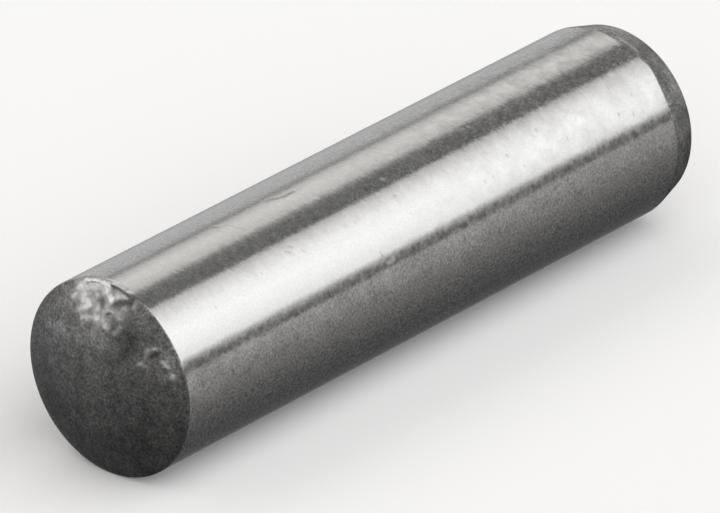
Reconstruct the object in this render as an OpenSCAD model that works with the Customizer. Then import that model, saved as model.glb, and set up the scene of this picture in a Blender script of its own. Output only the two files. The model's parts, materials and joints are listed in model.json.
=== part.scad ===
// Hardened and ground dowel pin with a domed end and a lead-in end, in millimetres.
// The pin lies along X: the dome is at -X, the lead-in chamfer at +X, and +Z is up.
// The origin is on the axis at half the overall length.

/* [Shank] */
// Diameter of the ground shank
pin_d = 6; // [4:0.5:10]
// Overall length, from the top of one crown to the top of the other
pin_l = 24; // [12:1:60]

/* [Domed end] */
// Radius of the crown on the domed end
dome_r = 7; // [5.5:0.5:14]
// Length along the shank of the broken edge between dome and shank
edge_break = 0.06; // [0.02:0.01:0.2]

/* [Lead-in end] */
// Length of the lead-in chamfer along the axis
lead_l = 0.9; // [0.3:0.1:1.5]
// Angle between the lead-in chamfer and the axis
lead_angle = 15; // [5:1:30]
// Radius of the crown on the lead-in end
lead_r = 7; // [5.5:0.5:14]

/* [Chip on the rim of the dome] */
// Angle of the chip round the axis, from the top towards the back
chip_angle = 10; // [-180:1:180]
// Distance from the surface of the shank in to the middle of the chip
chip_inset = 0.6; // [0.3:0.05:1.5]
// Width of the largest scoop of the chip
chip_w = 1.5; // [0.6:0.1:2]
// Depth of the largest scoop of the chip
chip_depth = 0.13; // [0.05:0.01:0.25]

/* [Pitted patch on the dome] */
// Angle of the patch round the axis, from the top towards the back
pit_angle = -56; // [-180:1:180]
// Distance from the surface of the shank in to the middle of the patch
pit_inset = 0.65; // [0.3:0.05:1.5]
// Width of the largest pit of the patch
pit_w = 0.6; // [0.3:0.05:1]
// Depth of the largest pit of the patch
pit_depth = 0.05; // [0.02:0.01:0.1]

/* [Hidden] */
$fn = 128;

shank_r = pin_d / 2;

// Domed end: the crown's centre, the plane where crown and shank would meet in a sharp edge,
// and the cone of the broken edge, which leans halfway between the two
dome_centre = dome_r - pin_l / 2;
dome_rim = dome_centre - sqrt(dome_r ^ 2 - shank_r ^ 2);
edge_angle = (90 - asin(shank_r / dome_r)) / 2;
edge_start = dome_rim + edge_break;
edge_tip = edge_start - shank_r / tan(edge_angle);

// Lead-in end: the small radius of the chamfer, the crown that caps it, and the chamfer's cone
lead_end_r = shank_r - lead_l * tan(lead_angle);
lead_centre = pin_l / 2 - lead_r;
lead_start = lead_centre + sqrt(lead_r ^ 2 - lead_end_r ^ 2) - lead_l;
lead_tip = lead_start + shank_r / tan(lead_angle);

// Small flakes round the chip and small pits round the largest one. Each row has a bearing from the
// direction of the rim, then the distance, width and depth as shares of the main scoop's width and depth
chip_flakes = [
    [-12, 0.34, 0.5, 0.8],
    [95, 0.42, 0.5, 0.6],
    [-60, 0.55, 0.5, 0.5],
    [-125, 0.55, 0.4, 0.4]
];
pit_flakes = [
    [60, 0.7, 0.6, 0.7],
    [-80, 0.8, 0.75, 0.8],
    [-100, 1.5, 0.5, 0.6]
];

// What a crown takes off the end of the half section, between two positions on the axis
module crown_waste(centre, crown_r, from, to) {
    difference() {
        translate([0, from]) square([pin_d, to - from]);
        translate([0, centre]) circle(r = crown_r);
    }
}

// Half section of the turned pin: radius along x, position on the axis along y
module half_section() {
    difference() {
        polygon([[0, edge_tip], [shank_r, edge_start], [shank_r, lead_start], [0, lead_tip]]);
        crown_waste(dome_centre, dome_r, edge_tip, edge_start);
        crown_waste(lead_centre, lead_r, lead_start, lead_tip);
    }
}

module turned_pin() {
    rotate([0, 90, 0]) rotate_extrude() half_section();
}

// Puts its children on the dome, with their z axis out of the surface and their x axis towards the rim
module on_dome(angle, inset) {
    lean = asin((shank_r - inset) / dome_r);
    translate([dome_centre, 0, 0])
        rotate([-angle, 0, 0])
            rotate([0, lean - 90, 0])
                translate([0, 0, dome_r])
                    children();
}

// Moves its children along the dome from a point on it
module along_dome(bearing, distance) {
    swing = distance / dome_r * 180 / PI;
    translate([0, 0, -dome_r])
        rotate([0, 0, bearing])
            rotate([0, swing, 0])
                translate([0, 0, dome_r])
                    children();
}

// Ball that takes a scoop of this width and depth out of a flat surface at z = 0
module scoop(width, depth) {
    ball_r = ((width / 2) ^ 2 + depth ^ 2) / (2 * depth);
    translate([0, 0, ball_r - depth]) sphere(r = ball_r);
}

// A main scoop on the dome with smaller ones round it
module bruise(angle, inset, width, depth, flakes) {
    on_dome(angle, inset) {
        scoop(width, depth);
        for (flake = flakes)
            along_dome(flake[0], flake[1] * width)
                scoop(flake[2] * width, flake[3] * depth);
    }
}

module dowel_pin() {
    color("silver")
        difference() {
            turned_pin();
            bruise(chip_angle, chip_inset, chip_w, chip_depth, chip_flakes);
            bruise(pit_angle, pit_inset, pit_w, pit_depth, pit_flakes);
        }
}

dowel_pin();
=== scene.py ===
"""Looks of a hardened dowel pin: a bright ground shank between a dark domed end and a dark lead-in end."""
import json
import math

import bpy
import numpy as np
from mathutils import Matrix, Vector, noise


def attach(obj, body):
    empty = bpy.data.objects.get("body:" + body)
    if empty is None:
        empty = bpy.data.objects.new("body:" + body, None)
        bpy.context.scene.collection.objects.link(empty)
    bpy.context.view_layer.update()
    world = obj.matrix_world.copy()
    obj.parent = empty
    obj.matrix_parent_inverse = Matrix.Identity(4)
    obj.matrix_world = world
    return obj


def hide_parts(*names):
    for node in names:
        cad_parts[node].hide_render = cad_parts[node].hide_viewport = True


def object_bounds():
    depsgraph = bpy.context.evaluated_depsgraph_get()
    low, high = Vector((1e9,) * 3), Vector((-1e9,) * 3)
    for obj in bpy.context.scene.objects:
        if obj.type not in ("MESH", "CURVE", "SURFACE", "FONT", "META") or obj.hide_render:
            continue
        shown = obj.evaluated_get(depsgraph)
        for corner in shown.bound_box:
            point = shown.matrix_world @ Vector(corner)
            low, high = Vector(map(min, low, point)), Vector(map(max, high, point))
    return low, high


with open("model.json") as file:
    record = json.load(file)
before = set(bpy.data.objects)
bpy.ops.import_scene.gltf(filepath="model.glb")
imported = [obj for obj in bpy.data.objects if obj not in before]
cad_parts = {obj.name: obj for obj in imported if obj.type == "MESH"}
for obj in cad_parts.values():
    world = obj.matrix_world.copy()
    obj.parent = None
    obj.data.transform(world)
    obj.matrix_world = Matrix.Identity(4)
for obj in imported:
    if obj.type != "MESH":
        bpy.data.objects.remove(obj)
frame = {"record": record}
cad_low, cad_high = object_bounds()

MM = 0.001
SEED = 7
noise.seed_set(SEED)

# Sizes of the pin in millimetres. The shank's radius and the length come from the frame
SHANK_R = frame["record"]["mounts"][0]["dims"]["r_mm"]
HALF_LENGTH = cad_high.x / MM

# The dome and the lead-in end repeat the source
DOME_R = 7.0
DOME_CENTRE = np.array([DOME_R - HALF_LENGTH, 0, 0])
LEAD_LENGTH = 0.9
LEAD_ANGLE = math.radians(15)
LEAD_CROWN_R = 7.0

# Roundings of the dome's rim, of the bend between shank and chamfer, and of the edge of the lead-in's crown
EDGE_R = 0.09
LEAD_BEND_R = 0.5
LEAD_EDGE_R = 0.12

# Chip and pitted patch: angle round the axis from the top towards the back, inset from the shank's
# surface, then the scoops as bearing from the rim's direction, distance, width and depth.
# They repeat the source, apart from shallower pits and the flake at the rim, which is in the next table
CHIP_ANGLE = 10
CHIP_INSET = 0.6
CHIP_SCOOPS = (
    (0, 0.0, 1.5, 0.13),
    (95, 0.63, 0.75, 0.078),
    (-60, 0.825, 0.75, 0.065),
    (-125, 0.825, 0.6, 0.052),
)
PIT_ANGLE = -56
PIT_INSET = 0.65
PIT_SCOOPS = (
    (0, 0.0, 0.6, 0.020),
    (60, 0.42, 0.36, 0.012),
    (-80, 0.48, 0.45, 0.020),
    (-100, 0.9, 0.3, 0.012),
)

# Flakes off the rim of the dome, straight in towards the axis: a line of (y, z) places, half width
# and height
RIM_MARKS = (
    (((0.98, 2.82), (0.84, 2.87)), 0.13, -0.025),
    (((0.64, 2.92), (0.46, 2.96)), 0.18, -0.048),
    (((0.24, 2.98), (0.08, 3.00)), 0.15, -0.042),
    (((-0.14, 2.99), (-0.24, 2.99)), 0.12, -0.018),
    (((-0.44, 2.96), (-0.62, 2.93)), 0.13, -0.026),
)

# Ridges and grooves on the dome: a line of (y, z) places, half width and height
DOME_MARKS = (
    (((0.97, 2.52), (1.17, 2.27)), 0.11, 0.020),
    (((0.80, 2.37), (0.60, 2.21), (0.70, 2.08), (0.88, 2.02)), 0.09, 0.016),
    (((-0.20, 2.66), (-0.24, 2.58)), 0.10, 0.020),
    (((0.17, 2.42), (0.15, 2.34)), 0.13, -0.020),
    (((-0.38, 2.51), (-0.67, 2.62), (-0.90, 2.70)), 0.07, -0.018),
    (((-0.40, 2.22), (-0.62, 2.23)), 0.09, 0.010),
    (((-0.22, 1.83), (-0.30, 1.81)), 0.08, 0.014),
    (((-0.50, 1.70), (-0.65, 1.78), (-0.73, 1.95)), 0.07, 0.010),
    (((0.52, 1.69), (0.40, 1.68)), 0.09, -0.012),
    (((0.60, 1.78), (0.28, 1.84)), 0.06, -0.010),
    (((-1.95, 1.43), (-1.85, 1.30), (-1.75, 1.12)), 0.09, -0.020),
    (((-1.68, 1.50), (-1.72, 1.26), (-1.54, 1.08)), 0.07, 0.012),
    (((-2.17, 1.25), (-2.33, 1.12)), 0.07, 0.016),
    (((-2.50, 0.88), (-2.48, 0.84)), 0.08, 0.014),
    (((-1.85, 1.57), (-2.05, 1.60)), 0.07, 0.008),
)

# Where the scale is broken off the dome: a line of (y, z) places, half width and how much barer the steel is;
# high values also paint the steel near white as a painted glint, and negative values keep the dark scale,
# which is painted shade in the chip's hollow and under the step below the right-hand flake
BARE_GLINT_AND_SHADE_MARKS = (
    (((0.80, 2.40), (0.05, 2.38)), 0.36, 0.52),
    (((0.88, 2.66), (0.57, 2.73), (0.20, 2.77)), 0.15, 0.68),
    (((0.75, 2.88), (0.35, 2.95), (0.05, 2.95)), 0.14, 0.85),
    (((1.20, 2.68), (0.90, 2.84)), 0.12, 0.32),
    (((-0.14, 2.88), (-0.30, 2.80)), 0.11, 0.26),
    (((0.05, 2.85), (-0.02, 2.70), (-0.22, 2.62)), 0.11, 0.70),
    (((-0.20, 2.63), (-0.26, 2.58)), 0.09, 0.35),
    (((0.95, 2.53), (1.18, 2.27)), 0.13, 0.95),
    (((0.86, 2.38), (0.64, 2.23)), 0.12, 0.60),
    (((0.64, 2.20), (0.72, 2.08), (0.90, 2.01)), 0.10, 0.50),
    (((0.67, 1.86), (0.45, 1.92), (0.13, 1.98)), 0.09, 0.55),
    # Painted shade: the dark scale kept in the chip's hollow
    (((0.16, 2.44), (0.10, 2.34)), 0.15, -0.62),
    (((0.97, 2.25), (1.00, 2.18)), 0.07, -0.15),
    (((0.40, 2.58), (0.25, 2.55)), 0.12, 0.20),
    (((0.20, 2.20), (-0.70, 2.32)), 0.27, 0.38),
    (((-0.38, 2.25), (-0.43, 2.20)), 0.10, 0.24),
    (((-0.60, 2.25), (-0.65, 2.20)), 0.10, 0.24),
    (((-0.14, 2.42), (-0.20, 2.34)), 0.10, 0.14),
    (((-0.20, 2.12), (-0.26, 2.12)), 0.09, -0.06),
    # Painted shadow: the dark scale kept under the step below the right-hand flake
    (((-0.38, 2.50), (-0.67, 2.62), (-0.92, 2.71)), 0.075, -0.45),
    (((-0.42, 2.71), (-0.72, 2.78)), 0.11, 0.70),
    (((-0.30, 2.88), (-0.60, 2.86)), 0.09, 0.40),
    (((-0.10, 2.97), (-0.32, 2.97), (-0.55, 2.93), (-0.85, 2.82)), 0.05, -0.60),
    (((-0.75, 2.54), (-0.77, 2.48)), 0.07, 0.40),
    (((-1.02, 2.70), (-1.06, 2.60)), 0.10, 0.45),
    (((0.17, 1.50), (0.10, 1.72), (-0.05, 1.90), (-0.20, 1.93)), 0.12, 0.36),
    (((-0.20, 1.83), (-0.32, 1.81)), 0.075, 0.50),
    (((-0.55, 1.73), (-0.66, 1.80), (-0.74, 1.96)), 0.09, 0.36),
    (((-1.90, 1.59), (-1.68, 1.54), (-1.69, 1.30), (-1.74, 1.22)), 0.07, 0.36),
    (((-1.60, 1.10), (-1.50, 1.06)), 0.09, 0.62),
    (((-2.17, 1.25), (-2.33, 1.14), (-2.38, 1.02)), 0.08, 0.54),
    (((-2.50, 0.90), (-2.48, 0.85)), 0.09, 0.76),
    (((-1.90, 1.58), (-2.00, 1.60)), 0.08, 0.20),
    (((-2.33, 1.40), (-2.36, 1.43)), 0.09, 0.30),
)

# Lighter and darker areas of the scale on the dome: place (y, z), radius and change of tone. Partly the
# scale's own
# uneven tone, partly painted light: lighter in places towards the top and the back, darker towards the
# bottom, and painted shade in the pits' hollow
DOME_TONES_AND_SHADING = (
    ((0.75, 1.25), 0.60, 0.45),
    ((1.80, 1.05), 0.55, 0.70),
    ((1.62, 1.40), 0.40, 0.35),
    ((1.40, 2.35), 0.40, 0.60),
    ((0.00, 1.55), 0.40, 0.65),
    ((-0.40, 1.65), 0.30, 0.25),
    ((-1.05, 1.70), 0.45, -0.35),
    ((-1.60, 1.78), 0.30, -0.30),
    ((-2.05, 0.40), 0.35, -0.25),
    ((-2.40, 1.25), 0.50, 0.50),
    ((-1.60, 2.30), 0.45, 0.25),
    ((0.20, -0.20), 0.90, 0.15),
    ((-1.10, -0.45), 0.50, 0.32),
    ((-1.60, -0.85), 0.30, -0.22),
    ((1.30, 0.00), 0.50, 0.20),
    ((2.05, -1.20), 0.80, -0.20),
    ((-0.70, -1.95), 0.80, -0.18),
    # Painted shade in the hollow of the pits
    ((-1.90, 1.40), 0.12, -0.50),
    ((-1.80, 1.20), 0.09, -0.40),
    ((-2.38, 1.32), 0.10, -0.25),
)

# Lighter and darker parts of the lead-in end: angle and width in degrees and change of tone
LEAD_TONES = ((0, 18, 0.70), (-38, 14, -0.12), (-90, 32, 0.45))

# Nicks on the shank: a line of places as position along the axis and angle in degrees, half width,
# height, how far it takes the dark scale's colour, and how far it is painted as lighter bare steel, a painted
# glint
SHANK_MARKS = (
    (((-4.30, 1.0), (-4.19, -1.0), (-3.94, -2.8), (-3.76, -2.8), (-3.50, -2.7)), 0.060, -0.004, 0.55, 0.0),
    (((-6.70, 1.2), (-6.66, -0.6)), 0.060, -0.004, 0.50, 0.0),
    (((-4.46, 0.8), (-4.22, -0.4)), 0.080, -0.003, 0.35, 0.0),
    (((-6.40, -1.5), (-6.30, -7.0), (-6.20, -12.5)), 0.050, -0.002, 0.17, 0.0),
    (((-6.80, -2.0), (-6.74, -7.5)), 0.050, -0.002, 0.13, 0.0),
    (((-0.86, -23.6), (-0.82, -24.4)), 0.080, -0.003, 0.0, 0.40),
    (((-2.42, -67.2), (-2.18, -67.0)), 0.090, -0.0004, 0.0, 0.45),
    (((3.02, -18.3), (3.06, -18.5)), 0.060, -0.002, 0.0, 0.40),
    (((3.24, -18.9), (3.26, -19.1)), 0.070, -0.002, 0.0, 0.50),
    (((-5.72, -35.5), (-5.64, -37.0)), 0.045, -0.003, 0.22, 0.0),
    (((-5.50, -33.8), (-5.42, -35.0)), 0.045, -0.003, 0.25, 0.0),
    (((-5.20, -38.8), (-5.14, -40.3)), 0.045, -0.003, 0.20, 0.0),
    (((-0.80, -48.5), (-0.76, -50.0)), 0.050, -0.003, 0.15, 0.0),
)

# Streak on the edge between shank and lead-in chamfer, as position along the axis and angle in degrees,
# with its half width and how bare its steel is. Its lighter colour is a painted highlight along the edge
LEAD_STREAK = ((10.62, -12.5), (10.66, -25.5))
LEAD_STREAK_HALF_WIDTH = 0.08
LEAD_STREAK_BARE_AND_GLINT = 0.4

# Unevenness of the pin's relief and masks: lump size and shift of what is warped, and layers of
# height and lump size of what is rippled
DOME_WARP = (0.25, 0.02)
BARE_AND_GLINT_WARP = (0.10, 0.025)
NICK_WARP = (0.15, 0.03)
CRUMBS = ((0.008, 0.20), (0.004, 0.09))
BARE_AND_GLINT_PATCHES = ((0.4, 0.13), (0.2, 0.07))
TONE_PATCHES = ((0.9, 0.35), (0.5, 0.15))
LEAD_PATCHES = ((0.25, 0.5),)
SCALE_WANDER = ((0.02, 0.4),)

# How much stronger the crumbs are in the zone at the rim, given by its distances from the shank's surface,
# and how strong they are in pits of a depth
RIM_ZONE = (0.20, 0.05)
RIM_CRUMBS = 2.5
PIT_CRUMBS = 0.5
CRUMBLY_PIT_DEPTH = 0.03

# Depth over which the edges of the scoops are worn at the rim, what is added to it away from the rim,
# and the distances from the shank's surface between which that sets in
RIM_WEAR = 0.004
INNER_WEAR = 0.036
WEAR_ZONE = (0.15, 0.40)

# Places along the axis, counted from the dome's rim: the dome's marks fade out on the shank, the dome's
# relief ends on it, and scale sets in on the rounded edge
MARKS_FADE = (0.15, -0.02)
DOME_REACH = 0.35
SCALE_AT_RIM = (-0.02, -0.06)

# Places along the axis, counted from the lead-in's bend: its masks start, and scale starts, to be whole
# after a fade. One tongue of ground steel, at an angle and with a width in degrees, reaches further
LEAD_START = -0.1
SCALE_AT_BEND = -0.06
SCALE_FADE = 0.05
TONGUE_LENGTH = 0.12
TONGUE_ANGLE = -36
TONGUE_WIDTH = 11

# Bareness, with its painted glint, from which broken steel starts to take the place of ground steel, and at
# which it has done so
BROKEN_COVER = (0.05, 0.45)

# Rings of the mesh along the axis and columns round it. They are fine on the dome's broken part, at both
# ends of the shank and at its nicks, where they reach this many half widths past each nick
DOME_PLAIN_R = 1.4
DOME_PLAIN_RINGS = 13
DOME_BROKEN_RINGS = 64
EDGE_RINGS = 7
SHANK_RINGS = 30
BEND_RINGS = 6
CHAMFER_RINGS = 18
CROWN_RINGS = 18
FINE_RING_STEP = 0.035
NICK_REACH = 1.7
FINE_RIM_RINGS = 11
FINE_BEND_RINGS = 3
FINE_ANGLES = (-80, 35)
FINE_COLUMNS = 215
COARSE_COLUMNS = 130

# Colours of the pin's surfaces
GROUND_STEEL = (0.530, 0.528, 0.525, 1)
# Darker steel for the far end's upper part: wear in patches, and a painted fall-off of the light along the
# bright band
WORN_AND_DIMMED_STEEL = (0.450, 0.447, 0.442, 1)
DARK_SCALE = (0.132, 0.133, 0.133, 1)
LIGHT_SCALE = (0.228, 0.224, 0.219, 1)
DULL_BARE_STEEL = (0.47, 0.466, 0.46, 1)
# The brighter bare steel is near white: a painted glint of facets that catch the light
BARE_STEEL_WITH_PAINTED_GLINT = (0.97, 0.965, 0.955, 1)

# Noises of the finish: scale per millimetre, detail and roughness
GRAIN = (11.5, 3.0, 0.75)
FINE_GRAIN = (13.0, 2.0, 0.7)
COARSE_GRAIN = (5.0, 2.0, 0.5)
CLOUDS = (1.3, 4.0, 0.6)
STROKES = (2.2, 3.0, 0.6)
SMUDGES = (2.4, 3.0, 0.6)
PATCHES = (6.5, 3.0, 0.65)
THREADS = (1.0, 2.0, 0.5)
WAVES = (1.2, 2.0, 0.5)
MOTTLE = (0.8, 5.0, 0.65)
BLOTCHES = (2.6, 3.0, 0.6)

# Specks of tarnish per millimetre, and how places are stretched for specks and strokes, and for threads
SPECKS_PER_MM = 2.0
MARK_STRETCH = (1.6, 1, 1)
THREAD_STRETCH = (8, 3, 3)

# What the finish makes of a noise or mask: two levels of it, and the result at each
FADE_IN = (0, 1)
FADE_OUT = (1, 0)
NOISE_SHADE = ((0.3, 0.7), (-1, 1))
COARSE_SHADE = ((0.3, 0.7), (-0.6, 0.6))
CLOUD_SHADE = ((0.35, 0.65), (-1, 1))
CLOUD_COVER = ((0.35, 0.65), FADE_IN)
CLOUD_THREADS = ((0.35, 0.65), (0.35, 1.1))
PATCH_COVER = ((0.48, 0.72), FADE_IN)
SPECK_EDGE = ((0.04, 0.20), FADE_OUT)
SPECK_CHANCE = ((0.45, 0.70), FADE_IN)
GROUND_ROUGHNESS = ((0.40, 0.70), (0.075, 0.17))
MOTTLE_MIX = ((0.3, 0.7), FADE_IN)
BLOTCH_SHADE = ((0.3, 0.7), (0.75, 1.25))
SPECKLE_SHADE = ((0.38, 0.78), (0.62, 1.95))
END_ROUGHNESS = ((0, 1), (0.5, 0.38))

# How the finish changes over the shank: two places in millimetres on the axis named last, or two
# distances from a height, and the strength at each. The track is a strip of stronger grain on the
# upper front, and the seam is a rough line below the bright band
FAR_X = ((-3, 10), FADE_IN)
FAR_Z = ((0.3, 1.6), FADE_IN)
FRONT_Y = ((-0.8, -0.5), FADE_OUT)
BEHIND_Y = ((0.0, 0.4), (0.05, 0.26))
UPPER_Z = ((2.50, 2.70), FADE_IN)
MOTTLED_X = ((-8, 6), (0.06, 0.12))
BRUSHED_Z = ((2.15, 2.45), (0, 0.085))
SMEARED_X = ((-6, 6), (0.01, 0.075))
SMEARED_Z = ((2.82, 2.90), (0, 0.05))
TRACK_HEIGHT = 2.745
TRACK_WIDTH = ((0.06, 0.20), FADE_OUT)
TRACK_X = ((-4, 4), (0.17, 0.21))
SEAM_HEIGHT = 1.15
SEAM_WIDTH = ((0.10, 0.18), (0.55, 0))
SEAM_Y = ((-2.0, -1.5), FADE_OUT)
BELOW_Y = ((-0.5, 1.0), FADE_OUT)
BELOW_Z = ((1.0, 1.35), FADE_OUT)
LOWER_GRAIN_Z = ((-1.6, 1.0), (0.62, 0.25))
HAZY_X = ((-2, 5), (0.14, 0.05))
HAZY_Z = ((-0.6, 0.4), FADE_IN)
THREADS_X = ((-6, 8), (0.26, 0.34))
WAVE_STRENGTH = 0.35
SPECK_STRENGTH = 0.30
WORN_ROUGHNESS = 0.04

# Height of the fine relief in metres
BUMP_HEIGHT = 1.2e-5

# Levels of the studio's long soft boxes and boards, by the angle round the pin's axis
# from straight up towards the front, in degrees, with how warm each is
STUDIO_LEVELS = (
    (-180, 0.10, 0.0), (-150, 0.11, 0.0), (-128, 0.25, 0.0), (-108, 0.50, 0.0), (-94, 0.64, 0.0),
    (-69.5, 0.66, 0.0), (-64.5, 0.50, 0.02), (-60.5, 0.40, 0.03), (-58.5, 0.43, 0.03), (-54.5, 0.78, 0.05),
    (-43, 1.07, 0.05), (-36, 1.05, 0.05), (-24.0, 0.85, 0.07), (-17.8, 0.335, 0.04), (-12, 0.245, 0.02),
    (4.7, 0.22, 0.02), (6.6, 0.80, 0.03), (15, 1.16, 0.02), (28, 1.60, 0.0), (43, 1.77, 0.0),
    (57, 1.66, 0.0), (70.3, 1.44, 0.0), (74.8, 0.70, 0.02), (78.5, 0.34, 0.03), (82, 0.245, 0.03),
    (85.8, 0.245, 0.03), (89, 0.52, 0.04), (100, 0.44, 0.05), (116, 0.31, 0.05), (135, 0.20, 0.04),
    (160, 0.125, 0.0), (180, 0.10, 0.0),
)

# Floor in metres: a flat disc with a rim that sweeps up
FLOOR_INNER_R = 0.1
FLOOR_FLAT_R = 0.62
FLOOR_SWEEP_R = 0.12
FLOOR_SWEEP_STEPS = 6
FLOOR_COLUMNS = 96
FLOOR_COLOUR = (0.97, 0.97, 0.97, 1)

# Camera at the photo's view: lens in millimetres, angles in degrees, distances in millimetres,
# and the nearest and furthest distance that it sees in metres
CAMERA_LENS = 600
CAMERA_AZIMUTH = -49.85
CAMERA_ELEVATION = 26.09
CAMERA_DISTANCE = 345.5
CAMERA_AIM_RIGHT = -0.250
CAMERA_AIM_UP = -0.381
CAMERA_CLIP = (0.01, 10)


# Turned profile of the pin

def arc(centre_x, centre_r, radius, directions):
    """Profile rings on an arc, as x, radius and outward direction in radians from radial towards +X."""
    return [(centre_x + radius * math.sin(a), centre_r + radius * math.cos(a), a) for a in directions]


def dome_part():
    """Rings of the dome and its rounded edge, close together where the chip is."""
    centre = DOME_CENTRE[0]
    edge_direction = -math.acos((SHANK_R - EDGE_R) / (DOME_R - EDGE_R))
    edge_centre = centre + (DOME_R - EDGE_R) * math.sin(edge_direction)
    edge_radius = DOME_R * math.cos(edge_direction)
    plain = np.linspace(0, DOME_PLAIN_R, DOME_PLAIN_RINGS)
    broken = np.linspace(DOME_PLAIN_R, edge_radius, DOME_BROKEN_RINGS)[1:-1]
    dome = arc(centre, 0, DOME_R, [-math.acos(r / DOME_R) for r in (*plain, *broken)])
    edge = arc(edge_centre, SHANK_R - EDGE_R, EDGE_R, np.linspace(edge_direction, 0, EDGE_RINGS))
    return dome + edge


def lead_part():
    """Rings of the lead-in chamfer with its soft edges, and of the crown that caps it."""
    centre = HALF_LENGTH - LEAD_CROWN_R
    end_r = SHANK_R - LEAD_LENGTH * math.tan(LEAD_ANGLE)
    start = centre + math.sqrt(LEAD_CROWN_R ** 2 - end_r ** 2) - LEAD_LENGTH
    bend_centre = start - LEAD_BEND_R * math.tan(LEAD_ANGLE / 2)
    bend = arc(bend_centre, SHANK_R - LEAD_BEND_R, LEAD_BEND_R, np.linspace(0, LEAD_ANGLE, BEND_RINGS))
    # The rounded edge's centre lies one edge radius inside both the crown and the chamfer
    reach = LEAD_CROWN_R - LEAD_EDGE_R
    level = math.sin(LEAD_ANGLE) * (start - centre) + math.cos(LEAD_ANGLE) * SHANK_R - LEAD_EDGE_R
    edge_direction = LEAD_ANGLE + math.acos(level / reach)
    edge_centre = centre + reach * math.sin(edge_direction)
    directions = np.linspace(LEAD_ANGLE, edge_direction, EDGE_RINGS)
    edge = arc(edge_centre, reach * math.cos(edge_direction), LEAD_EDGE_R, directions)
    first, last = np.array(bend[-1]), np.array(edge[0])
    chamfer = [tuple(first + (last - first) * t) for t in np.linspace(0, 1, CHAMFER_RINGS)[1:-1]]
    radii = np.linspace(LEAD_CROWN_R * math.cos(edge_direction), 0, CROWN_RINGS)[1:]
    crown = arc(centre, 0, LEAD_CROWN_R, [math.acos(r / LEAD_CROWN_R) for r in radii])
    return bend + chamfer + edge + crown


def shank_part(first_x, last_x):
    """Rings along the ground shank, close together at the chipped rim, at the nicks and at the bend."""
    rings = set(np.linspace(first_x, last_x, SHANK_RINGS)[1:-1])
    rings.update(first_x + FINE_RING_STEP * np.arange(1, FINE_RIM_RINGS + 1))
    rings.update(last_x - FINE_RING_STEP * np.arange(1, FINE_BEND_RINGS + 1))
    for line, half_width, *_ in SHANK_MARKS:
        places = [x for x, _ in line]
        reach = NICK_REACH * half_width
        rings.update(np.arange(min(places) - reach, max(places) + reach, FINE_RING_STEP))
    kept = []
    for x in sorted(rings):
        if not kept or x - kept[-1] > FINE_RING_STEP / 2:
            kept.append(x)
    return [(x, SHANK_R, 0.0) for x in kept]


def ring_columns():
    """Angles of the vertices round the axis, from the top towards the back: fine on the broken side."""
    fine_from, fine_to = FINE_ANGLES
    fine = np.linspace(fine_from, fine_to, FINE_COLUMNS, endpoint=False)
    coarse = np.linspace(fine_to, fine_from + 360, COARSE_COLUMNS, endpoint=False)
    return np.radians(np.concatenate([fine, coarse]))


def turned_surface(profile, columns):
    """Points and outward directions of the turned pin, by ring and column, without its two poles."""
    x, r, direction = (profile[1:-1, i, None] for i in range(3))
    y, z = np.sin(columns), np.cos(columns)
    points = np.broadcast_arrays(x, r * y, r * z)
    normals = np.broadcast_arrays(np.sin(direction), np.cos(direction) * y, np.cos(direction) * z)
    return np.stack(points, -1), np.stack(normals, -1)


# Surface of the pin

def smooth_step(value, low, high):
    """0 below low, 1 above high and a smooth rise between them."""
    t = np.clip((value - low) / (high - low), 0, 1)
    return t * t * (3 - 2 * t)


def ripple(points, size):
    """Smooth noise from about -1 to 1 at each point, with lumps of about this size."""
    flat = (points / size).reshape(-1, 3)
    return np.array([noise.noise(Vector(p)) for p in flat]).reshape(points.shape[:-1])


def rippled(points, layers, base=0):
    """A base value with layers of smooth noise on it, each with its height and the size of its lumps."""
    return sum((height * ripple(points, size) for height, size in layers), base)


def warped(points, size, amount):
    """The points moved a little each, by smooth noise, so that shapes made from them come out uneven."""
    flat = (points / size).reshape(-1, 3)
    shift = np.array([noise.noise_vector(Vector(p)) for p in flat]).reshape(points.shape)
    return points + amount * shift


def dome_direction(angle, inset, bearing, distance):
    """Direction from the dome's centre to a place on it, moved along the dome by a bearing and a distance."""
    lean = math.asin((SHANK_R - inset) / DOME_R)
    turn = math.radians(angle)
    out = np.array([-math.cos(lean), math.sin(lean) * math.sin(turn), math.sin(lean) * math.cos(turn)])
    rimward = np.array([math.sin(lean), math.cos(lean) * math.sin(turn), math.cos(lean) * math.cos(turn)])
    sideways = np.array([0, math.cos(turn), -math.sin(turn)])
    swing = distance / DOME_R
    heading = math.radians(bearing)
    step = math.cos(heading) * rimward + math.sin(heading) * sideways
    return math.cos(swing) * out + math.sin(swing) * step


def scooped(points, outward, angle, inset, scoops):
    """Depth to which a group of ball-shaped scoops takes each point down towards the dome's centre."""
    deepest = np.zeros(points.shape[:-1])
    for bearing, distance, width, depth in scoops:
        ball = ((width / 2) ** 2 + depth ** 2) / (2 * depth)
        middle = DOME_CENTRE + dome_direction(angle, inset, bearing, distance) * (DOME_R + ball - depth)
        away = points - middle
        along = (away * outward).sum(-1)
        away_squared = (away ** 2).sum(-1)
        inside = away_squared < ball ** 2
        sink = along + np.sqrt(np.maximum(along ** 2 - away_squared + ball ** 2, 0))
        deepest = np.maximum(deepest, np.where(inside, sink, 0))
    # The edges of the scoops are worn smooth, but hardly where they run out over the rim
    from_rim = SHANK_R - np.hypot(points[..., 1], points[..., 2])
    worn = RIM_WEAR + INNER_WEAR * smooth_step(from_rim, *WEAR_ZONE)
    return deepest * smooth_step(deepest / worn, 0, 1)


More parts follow.
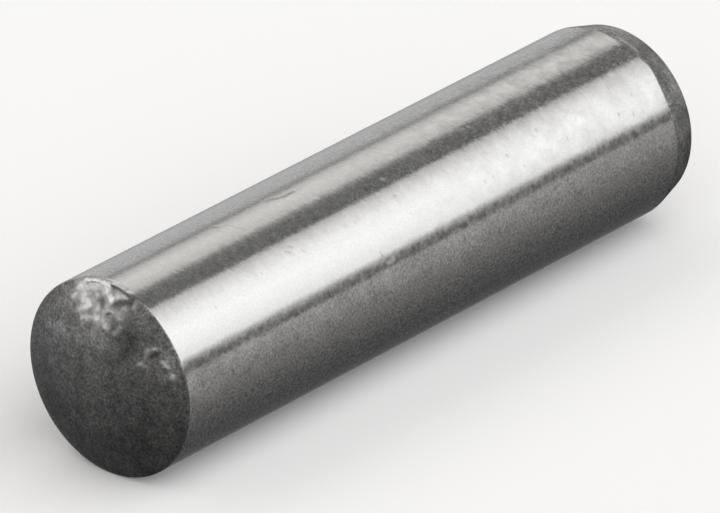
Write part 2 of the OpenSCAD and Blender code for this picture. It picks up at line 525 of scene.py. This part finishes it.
def distance_to_line(first, second, line):
    """Distance of each place, given by two coordinates, from a line of points."""
    nearest = np.full(first.shape, np.inf)
    for (a0, b0), (a1, b1) in zip(line, line[1:]):
        length_squared = (a1 - a0) ** 2 + (b1 - b0) ** 2
        t = np.clip(((first - a0) * (a1 - a0) + (second - b0) * (b1 - b0)) / length_squared, 0, 1)
        nearest = np.minimum(nearest, np.hypot(first - a0 - t * (a1 - a0), second - b0 - t * (b1 - b0)))
    return nearest


def on_line(first, second, line, half_width):
    """1 on a line of points, with a soft fall to 0 over about twice the half width beside it."""
    return np.exp(-(distance_to_line(first, second, line) / half_width) ** 2)


def marked(first, second, marks, weight):
    """Sum of a table of marks, each a line of points, a half width and a strength."""
    result = np.zeros(first.shape)
    for line, half_width, strength in marks:
        result = result + strength * weight * on_line(first, second, line, half_width)
    return result


def unrolled(line):
    """A line of positions along the axis and angles in degrees, as points on the unrolled shank."""
    return [(x, SHANK_R * math.radians(angle)) for x, angle in line]


def dome_surface(points, normals, rim_x):
    """Move away from the turned dome, bareness of the steel with its painted glint, and tone of the scale
    with painted shading, per vertex.
    """
    outward = points - DOME_CENTRE
    outward = outward / np.linalg.norm(outward, axis=-1, keepdims=True)
    from_axis = np.hypot(points[..., 1], points[..., 2])
    radial = points * (0, 1, 1) / from_axis[..., None]
    at_rim = smooth_step(from_axis, *(SHANK_R - inset for inset in RIM_ZONE))
    on_dome = smooth_step(points[..., 0], *(rim_x + place for place in MARKS_FADE))
    uneven = warped(points, *DOME_WARP)
    y, z = uneven[..., 1], uneven[..., 2]
    chip = scooped(uneven, outward, CHIP_ANGLE, CHIP_INSET, CHIP_SCOOPS)
    pits = scooped(uneven, outward, PIT_ANGLE, PIT_INSET, PIT_SCOOPS)
    rim = marked(y, z, RIM_MARKS, on_dome)
    ragged = warped(uneven, *BARE_AND_GLINT_WARP)
    bare_and_glint = marked(ragged[..., 1], ragged[..., 2], BARE_GLINT_AND_SHADE_MARKS, on_dome)
    crumbs = rippled(points, CRUMBS) * (1 + RIM_CRUMBS * at_rim)
    crumbly = np.maximum(bare_and_glint, PIT_CRUMBS * smooth_step(pits, 0, CRUMBLY_PIT_DEPTH))
    height = marked(y, z, DOME_MARKS, on_dome) + crumbs * np.clip(crumbly, 0, 1)
    bare_and_glint = np.clip(bare_and_glint * rippled(points, BARE_AND_GLINT_PATCHES, 1), 0, 1)
    tone_and_shading = np.ones(bare_and_glint.shape)
    patchy = np.clip(rippled(points, TONE_PATCHES, 1), 0, 2)
    # Tone of the scale with painted shading: darker towards the bottom and in the pits' hollow
    for (y0, z0), radius, change in DOME_TONES_AND_SHADING:
        tone_and_shading = tone_and_shading + change * patchy * np.exp(-((y - y0) ** 2 + (z - z0) ** 2) / radius ** 2)
    move = normals * height[..., None] + radial * rim[..., None] - outward * (chip + pits)[..., None]
    return move, bare_and_glint, tone_and_shading


def shank_nicks(points, turn):
    """Height of the nicks in the ground shank, how far they take the dark scale's colour, and how light their
    steel is painted as a glint, per vertex.
    """
    height, darkened, bare_and_glint = (np.zeros(points.shape[:-1]) for _ in range(3))
    along = warped(points, *NICK_WARP)[..., 0]
    for line, half_width, rise, darkening, steel in SHANK_MARKS:
        shape = on_line(along, SHANK_R * turn, unrolled(line), half_width)
        height = height + rise * shape
        darkened = np.maximum(darkened, darkening * shape)
        bare_and_glint = np.maximum(bare_and_glint, steel * shape)
    return height, darkened, bare_and_glint


def lead_surface(points, turn):
    """Bareness of the steel, lighter along the edge's streak as a painted highlight, and tone of the scale on
    the lead-in end, per vertex.
    """
    streak = on_line(points[..., 0], SHANK_R * turn, unrolled(LEAD_STREAK), LEAD_STREAK_HALF_WIDTH)
    tone_and_shading = rippled(points, LEAD_PATCHES, 1)
    for angle, width, change in LEAD_TONES:
        tone_and_shading = tone_and_shading + change * np.exp(-((np.degrees(turn) - angle) / width) ** 2)
    return LEAD_STREAK_BARE_AND_GLINT * streak, tone_and_shading


def scale_cover(points, turn, rim_x, bend_x):
    """1 where scale covers the steel: on the dome to its rounded edge, and past a line at the other end."""
    x = points[..., 0] + rippled(points, SCALE_WANDER)
    tongue = TONGUE_LENGTH * np.exp(-((np.degrees(turn) - TONGUE_ANGLE) / TONGUE_WIDTH) ** 2)
    ground_to = bend_x + SCALE_AT_BEND + tongue
    on_dome = smooth_step(x, *(rim_x + place for place in SCALE_AT_RIM))
    return np.maximum(on_dome, smooth_step(x, ground_to, ground_to + SCALE_FADE))


# Mesh of the pin

def grid_faces(rings, columns):
    """Quads between rings of vertices that follow one pole vertex, with a fan at each pole."""
    start = 1 + np.arange(rings)[:, None] * columns
    here = start + np.arange(columns)
    beside = start + (np.arange(columns) + 1) % columns
    quads = np.stack([here[:-1], here[1:], beside[1:], beside[:-1]], -1).reshape(-1, 4)
    last = 1 + rings * columns
    first_fan = np.stack([np.zeros(columns, int), here[0], beside[0]], -1)
    last_fan = np.stack([here[-1], np.full(columns, last), beside[-1]], -1)
    return first_fan.tolist() + quads.tolist() + last_fan.tolist()


def write_mask(mesh, name, values, at_poles):
    """A number per vertex that the material reads, with one value for both poles."""
    layer = mesh.attributes.new(name, "FLOAT", "POINT")
    whole = np.concatenate([[at_poles], values.ravel(), [at_poles]])
    layer.data.foreach_set("value", whole.astype(np.float32))


def make_pin():
    """The pin as one revolved mesh, with its chip, pits and nicks in the surface."""
    dome, lead = dome_part(), lead_part()
    rim_x, bend_x = dome[-1][0], lead[0][0]
    profile = np.array(dome + shank_part(rim_x, bend_x) + lead)
    columns = ring_columns()
    turn = (columns + math.pi) % math.tau - math.pi
    points, normals = turned_surface(profile, columns)
    ring_x = points[:, 0, 0]
    dome_end = int((ring_x < rim_x + DOME_REACH).sum())
    lead_start = int((ring_x < bend_x + LEAD_START).sum())
    head, shank, tail = slice(dome_end), slice(dome_end, lead_start), slice(lead_start, None)

    move = np.zeros(points.shape)
    bare_and_glint, darkened = np.zeros(points.shape[:-1]), np.zeros(points.shape[:-1])
    tone_and_shading = np.ones(points.shape[:-1])
    move[head], bare_and_glint[head], tone_and_shading[head] = dome_surface(points[head], normals[head], rim_x)
    bare_and_glint[tail], tone_and_shading[tail] = lead_surface(points[tail], turn)
    height, darkened[shank], bare_and_glint[shank] = shank_nicks(points[shank], turn)
    move[shank] = normals[shank] * height[..., None]
    # Dark scale colour on the darker nicks, and lighter bare steel, a painted glint, where bareness and glint
    # are high
    scale = np.maximum(scale_cover(points, turn, rim_x, bend_x), darkened)
    scale = np.maximum(scale, smooth_step(bare_and_glint, *BROKEN_COVER))

    first_pole, last_pole = ([[profile[end][0], 0, 0]] for end in (0, -1))
    vertices = np.concatenate([first_pole, (points + move).reshape(-1, 3), last_pole]) * MM
    mesh = bpy.data.meshes.new("pin_steel")
    mesh.from_pydata(vertices.tolist(), [], grid_faces(*points.shape[:2]))
    write_mask(mesh, "bare_and_glint", bare_and_glint, 0)
    write_mask(mesh, "tone_and_shading", tone_and_shading, 1)
    write_mask(mesh, "scale", scale, 1)
    mesh.polygons.foreach_set("use_smooth", np.ones(len(mesh.polygons), bool))
    mesh.update()
    pin = bpy.data.objects.new("pin_steel", mesh)
    bpy.context.scene.collection.objects.link(pin)
    return pin


# Shader nodes

def add(tree, kind, inputs=None, **settings):
    """A new node with its settings, its input values and its links from other nodes' sockets."""
    node = tree.nodes.new(kind)
    for name, value in settings.items():
        setattr(node, name, value)
    for name, value in (inputs or {}).items():
        if isinstance(value, bpy.types.NodeSocket):
            tree.links.new(value, node.inputs[name])
        else:
            node.inputs[name].default_value = value
    return node


def in_millimetres(tree, stretch=(1, 1, 1)):
    """Places on the object in millimetres, with each axis stretched by its own factor."""
    place = add(tree, "ShaderNodeTexCoord").outputs["Object"]
    scale = [s / MM for s in stretch]
    return add(tree, "ShaderNodeMapping", {"Vector": place, "Scale": scale}).outputs["Vector"]


def axes_of(tree, vector):
    """The three coordinates of a vector, by name."""
    return add(tree, "ShaderNodeSeparateXYZ", {"Vector": vector}).outputs


def noise_of(tree, place, kind):
    """Fractal noise from 0 to 1, of a kind given by its scale per millimetre, detail and roughness."""
    scale, detail, roughness = kind
    inputs = {"Vector": place, "Scale": scale, "Detail": detail, "Roughness": roughness}
    return add(tree, "ShaderNodeTexNoise", inputs).outputs["Fac"]


def ranged(tree, value, levels, results):
    """A value mapped from between two levels to between two results, and held inside them."""
    inputs = {"Value": value}
    inputs["From Min"], inputs["From Max"] = levels
    inputs["To Min"], inputs["To Max"] = results
    return add(tree, "ShaderNodeMapRange", inputs, clamp=True).outputs["Result"]


def mask_of(tree, name):
    """A number that the mesh holds per vertex."""
    return add(tree, "ShaderNodeAttribute", attribute_name=name).outputs["Fac"]


def mixed(tree, factor, first, second):
    """Two colours mixed by a factor."""
    return add(tree, "ShaderNodeMix", {0: factor, 6: first, 7: second}, data_type="RGBA").outputs[2]


def blended(tree, factor, first, second):
    """Two numbers mixed by a factor."""
    return add(tree, "ShaderNodeMix", {0: factor, 2: first, 3: second}, data_type="FLOAT").outputs[0]


def maths(tree, operation, *numbers):
    """One operation on one or two numbers."""
    return add(tree, "ShaderNodeMath", dict(enumerate(numbers)), operation=operation).outputs[0]


def total(tree, first, *others):
    """Numbers added up."""
    for number in others:
        first = maths(tree, "ADD", first, number)
    return first


def product(tree, first, *others):
    """Numbers multiplied together."""
    for number in others:
        first = maths(tree, "MULTIPLY", first, number)
    return first


def distance_from(tree, value, level):
    """How far a value is from a level, on either side."""
    return maths(tree, "ABSOLUTE", maths(tree, "SUBTRACT", value, level))


def centred(tree, value):
    """Noise from 0 to 1 moved to lie about 0."""
    return maths(tree, "SUBTRACT", value, 0.5)


def dimmed(tree, colour, factor):
    """A colour made lighter or darker by a factor."""
    return add(tree, "ShaderNodeVectorMath", {0: colour, 3: factor}, operation="SCALE").outputs[0]


# Finish of the pin

def specks(tree):
    """Small specks of tarnish, strewn over the surface: 1 in a speck and 0 beside it."""
    inputs = {"Vector": in_millimetres(tree, MARK_STRETCH), "Scale": SPECKS_PER_MM}
    cells = add(tree, "ShaderNodeTexVoronoi", inputs).outputs
    spots = ranged(tree, cells["Distance"], *SPECK_EDGE)
    return product(tree, spots, ranged(tree, axes_of(tree, cells["Color"])["X"], *SPECK_CHANCE))


def ground_smudges(tree, place, far, front, below, clouds):
    """Change of shade by strokes on the front's upper part, smudges towards the far end and haze low down."""
    axes = axes_of(tree, place)
    brushed = product(tree, ranged(tree, axes["Z"], *BRUSHED_Z), front)
    strokes = ranged(tree, noise_of(tree, in_millimetres(tree, MARK_STRETCH), STROKES), *NOISE_SHADE)
    smeared = product(tree, far, ranged(tree, axes["Z"], *SMEARED_Z))
    smeared = total(tree, ranged(tree, axes["X"], *SMEARED_X), smeared)
    smudges = ranged(tree, noise_of(tree, place, SMUDGES), *NOISE_SHADE)
    hazy = product(tree, below, ranged(tree, axes["Z"], *HAZY_Z), ranged(tree, axes["X"], *HAZY_X))
    haze = product(tree, hazy, ranged(tree, clouds, *CLOUD_SHADE))
    return total(tree, product(tree, smudges, smeared), product(tree, strokes, brushed), haze)


def ground_grain(tree, place, front, below, mottled):
    """Change of shade by fine grain low down, behind and on a track, and by coarse grain in thin zones."""
    axes = axes_of(tree, place)
    track = ranged(tree, distance_from(tree, axes["Z"], TRACK_HEIGHT), *TRACK_WIDTH)
    track = product(tree, track, front, ranged(tree, axes["X"], *TRACK_X))
    lower = product(tree, below, ranged(tree, axes["Z"], *LOWER_GRAIN_Z))
    dull = total(tree, track, lower, ranged(tree, axes["Y"], *BEHIND_Y))
    fine = ranged(tree, noise_of(tree, place, FINE_GRAIN), *NOISE_SHADE)
    seam = ranged(tree, distance_from(tree, axes["Z"], SEAM_HEIGHT), *SEAM_WIDTH)
    seam = product(tree, seam, ranged(tree, axes["Y"], *SEAM_Y))
    coarse = ranged(tree, noise_of(tree, place, COARSE_GRAIN), *COARSE_SHADE)
    return total(tree, product(tree, fine, dull), product(tree, coarse, total(tree, track, seam, mottled)))


def ground_relief(tree, place, clouds):
    """Fine threads along the shank, stronger under clouds and towards the far end, on soft waves."""
    threads = centred(tree, noise_of(tree, in_millimetres(tree, THREAD_STRETCH), THREADS))
    threads = product(tree, threads, ranged(tree, axes_of(tree, place)["X"], *THREADS_X))
    threads = product(tree, threads, ranged(tree, clouds, *CLOUD_THREADS))
    waves = product(tree, centred(tree, noise_of(tree, place, WAVES)), WAVE_STRENGTH)
    return total(tree, threads, waves)


def ground_finish(tree, place, grain):
    """Colour, roughness and relief of the ground shank, which is more worn towards the far end, and on its
    upper part there painted darker as a fall-off of the light.
    """
    axes = axes_of(tree, place)
    clouds = noise_of(tree, place, CLOUDS)
    far = product(tree, ranged(tree, axes["X"], *FAR_X), ranged(tree, axes["Z"], *FAR_Z))
    # Worn patches towards the far end, on the upper part; their darker colour is also a painted fall-off of
    # the light
    worn = product(tree, far, ranged(tree, clouds, *CLOUD_COVER))
    front = ranged(tree, axes["Y"], *FRONT_Y)
    below = product(tree, ranged(tree, axes["Z"], *BELOW_Z), ranged(tree, axes["Y"], *BELOW_Y))
    mottled = product(tree, ranged(tree, axes["Z"], *UPPER_Z), ranged(tree, axes["X"], *MOTTLED_X))
    smudges = ground_smudges(tree, place, far, front, below, clouds)
    shade = total(tree, ground_grain(tree, place, front, below, mottled), total(tree, smudges, 1.0))
    shade = maths(tree, "SUBTRACT", shade, product(tree, specks(tree), SPECK_STRENGTH))
    colour = dimmed(tree, mixed(tree, worn, GROUND_STEEL, WORN_AND_DIMMED_STEEL), shade)
    patches = ranged(tree, noise_of(tree, place, PATCHES), *PATCH_COVER)
    roughness = ranged(tree, grain, *GROUND_ROUGHNESS)
    roughness = total(tree, roughness, product(tree, worn, WORN_ROUGHNESS), product(tree, patches, mottled))
    return colour, roughness, ground_relief(tree, place, clouds)


def end_finish(tree, place, grain):
    """Colour and roughness of the ends: dark, mottled scale whose tone holds painted shading, and bare steel
    where that is broken, painted towards white as a glint where it is barest.
    """
    bare_and_glint, tone_and_shading = mask_of(tree, "bare_and_glint"), mask_of(tree, "tone_and_shading")
    mottle = ranged(tree, noise_of(tree, place, MOTTLE), *MOTTLE_MIX)
    scale = mixed(tree, mottle, DARK_SCALE, LIGHT_SCALE)
    scale = dimmed(tree, scale, product(tree, tone_and_shading, ranged(tree, grain, *SPECKLE_SHADE)))
    scale = dimmed(tree, scale, ranged(tree, noise_of(tree, place, BLOTCHES), *BLOTCH_SHADE))
    # Bare steel from dull to near white, where the near-white end is a painted glint
    steel = mixed(tree, bare_and_glint, DULL_BARE_STEEL, BARE_STEEL_WITH_PAINTED_GLINT)
    return mixed(tree, bare_and_glint, scale, steel), ranged(tree, bare_and_glint, *END_ROUGHNESS)


def pin_finish():
    """Steel that is ground bright on the shank and covered by dark scale on the ends."""
    material = bpy.data.materials.new("pin_finish")
    material.use_nodes = True
    tree = material.node_tree
    shader = tree.nodes["Principled BSDF"]
    shader.inputs["Metallic"].default_value = 1.0
    place = in_millimetres(tree)
    scale = mask_of(tree, "scale")
    grain = noise_of(tree, place, GRAIN)
    ground_colour, ground_roughness, ground_height = ground_finish(tree, place, grain)
    end_colour, end_roughness = end_finish(tree, place, grain)
    height = blended(tree, scale, ground_height, centred(tree, grain))
    bump = add(tree, "ShaderNodeBump", {"Height": height, "Strength": 1.0, "Distance": BUMP_HEIGHT})
    tree.links.new(mixed(tree, scale, ground_colour, end_colour), shader.inputs["Base Color"])
    tree.links.new(blended(tree, scale, ground_roughness, end_roughness), shader.inputs["Roughness"])
    tree.links.new(bump.outputs["Normal"], shader.inputs["Normal"])
    return material


# Studio

def floor_mesh():
    """A flat disc with a rim that sweeps up, as rings of vertices round a first one in the middle."""
    turns = np.linspace(0, math.tau, FLOOR_COLUMNS, endpoint=False)
    profile = [(FLOOR_INNER_R, 0.0), (FLOOR_FLAT_R, 0.0)]
    for a in np.radians(90 / FLOOR_SWEEP_STEPS * np.arange(1, FLOOR_SWEEP_STEPS + 1)):
        profile.append((FLOOR_FLAT_R + FLOOR_SWEEP_R * math.sin(a), FLOOR_SWEEP_R * (1 - math.cos(a))))
    vertices = [(0, 0, 0)] + [(r * math.cos(t), r * math.sin(t), z) for r, z in profile for t in turns]
    faces = [(0, 1 + i, 1 + (i + 1) % FLOOR_COLUMNS) for i in range(FLOOR_COLUMNS)]
    for ring in range(len(profile) - 1):
        here = 1 + ring * FLOOR_COLUMNS
        above = here + FLOOR_COLUMNS
        for i in range(FLOOR_COLUMNS):
            j = (i + 1) % FLOOR_COLUMNS
            faces.append((here + i, above + i, above + j, here + j))
    mesh = bpy.data.meshes.new("floor")
    mesh.from_pydata(vertices, [], faces)
    mesh.polygons.foreach_set("use_smooth", np.ones(len(mesh.polygons), bool))
    return mesh


def floor_paint():
    """Pale paint without any shine."""
    material = bpy.data.materials.new("pale_floor")
    material.use_nodes = True
    inputs = material.node_tree.nodes["Principled BSDF"].inputs
    inputs["Base Color"].default_value = FLOOR_COLOUR
    inputs["Roughness"].default_value = 1.0
    inputs["Specular IOR Level"].default_value = 0.0
    return material


def make_floor():
    """A pale floor under the pin that curves up all round, far away."""
    floor = bpy.data.objects.new("floor", floor_mesh())
    floor.data.materials.append(floor_paint())
    floor.location.z = cad_low.z
    bpy.context.scene.collection.objects.link(floor)
    # The steel mirrors the studio's graded boards in place of the floor
    floor.visible_glossy = False


def make_world():
    """Plain soft studio light: long soft boxes and boards that lie along the pin."""
    world = bpy.data.worlds.new("studio")
    world.use_nodes = True
    bpy.context.scene.world = world
    tree = world.node_tree
    direction = axes_of(tree, add(tree, "ShaderNodeTexCoord").outputs["Generated"])
    front = product(tree, direction["Y"], -1.0)
    angle = maths(tree, "ARCTAN2", front, direction["Z"])
    ramp = add(tree, "ShaderNodeValToRGB", {"Fac": ranged(tree, angle, (-math.pi, math.pi), FADE_IN)})
    stops = ramp.color_ramp.elements
    while len(stops) < len(STUDIO_LEVELS):
        stops.new(1.0)
    for stop, (degrees, level, warmth) in zip(stops, STUDIO_LEVELS):
        stop.position = (degrees + 180) / 360
        stop.color = (level * (1 + warmth / 2), level, level * (1 - warmth / 2), 1)
    background = tree.nodes["Background"]
    tree.links.new(ramp.outputs["Color"], background.inputs["Color"])
    background.inputs["Strength"].default_value = 1.0


def make_camera():
    """The photo's view: a long lens that looks down on the pin from the domed end."""
    azimuth, elevation = math.radians(CAMERA_AZIMUTH), math.radians(CAMERA_ELEVATION)
    back = Vector((
        math.sin(azimuth) * math.cos(elevation),
        -math.cos(azimuth) * math.cos(elevation),
        math.sin(elevation),
    ))
    right = Vector((math.cos(azimuth), math.sin(azimuth), 0))
    aim = right * CAMERA_AIM_RIGHT + back.cross(right) * CAMERA_AIM_UP
    data = bpy.data.cameras.new("camera")
    data.lens = CAMERA_LENS
    data.clip_start, data.clip_end = CAMERA_CLIP
    camera = bpy.data.objects.new("camera", data)
    camera.location = (aim + back * CAMERA_DISTANCE) * MM
    camera.rotation_euler = (-back).to_track_quat("-Z", "Y").to_euler()
    bpy.context.scene.collection.objects.link(camera)
    bpy.context.scene.camera = camera


pin = make_pin()
pin.data.materials.append(pin_finish())
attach(pin, "root")
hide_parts("dowel_pin")

make_floor()
make_world()
make_camera()
bpy.context.scene.view_settings.view_transform = "Standard"
